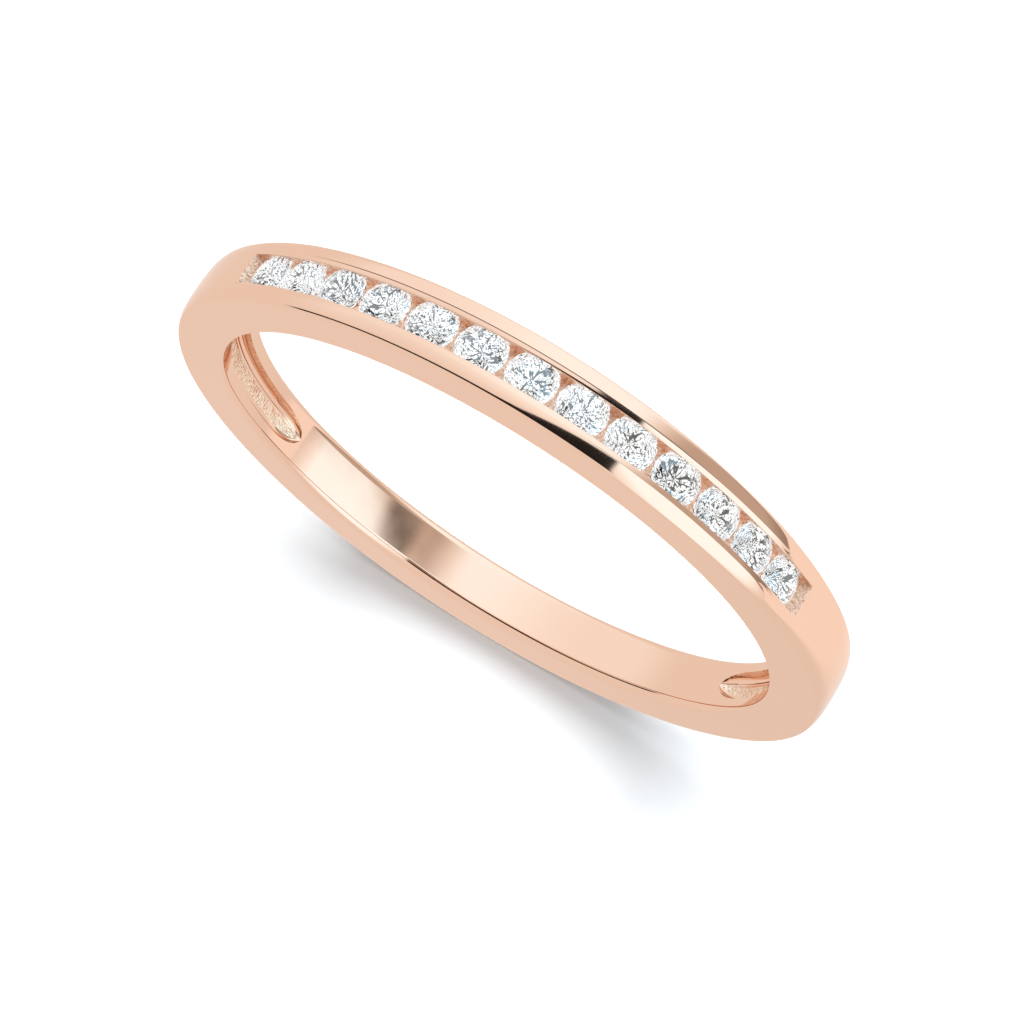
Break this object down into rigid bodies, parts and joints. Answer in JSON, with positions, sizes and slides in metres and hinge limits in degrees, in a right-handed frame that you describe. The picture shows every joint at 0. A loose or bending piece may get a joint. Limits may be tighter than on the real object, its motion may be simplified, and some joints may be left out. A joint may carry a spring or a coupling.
{
  "type": "wedding band",
  "caption": "Slim rose-gold ring with a row of round brilliants set in a straight channel across its top, and a hollowed finger bore.",
  "frame": {"origin": "centre of the finger bore, midway between the side faces", "axes": "+Z from the bore's centre to the middle stone, Y along the finger, X across the row of stones; the front side face looks along -Y"},
  "size_m": [0.0206, 0.002, 0.0207],
  "materials": {
    "rose_gold": "14 carat rose gold, polished, with a bare cast surface in the hollow",
    "diamond": "cut and polished"
  },
  "bodies": {
    "root": {"band": "rose_gold", "diamond_01": "diamond", "diamond_02": "diamond", "diamond_03": "diamond", "diamond_04": "diamond", "diamond_05": "diamond", "diamond_06": "diamond", "diamond_07": "diamond", "diamond_08": "diamond", "diamond_09": "diamond", "diamond_10": "diamond", "diamond_11": "diamond", "diamond_12": "diamond", "diamond_13": "diamond"}
  },
  "joints": []
}
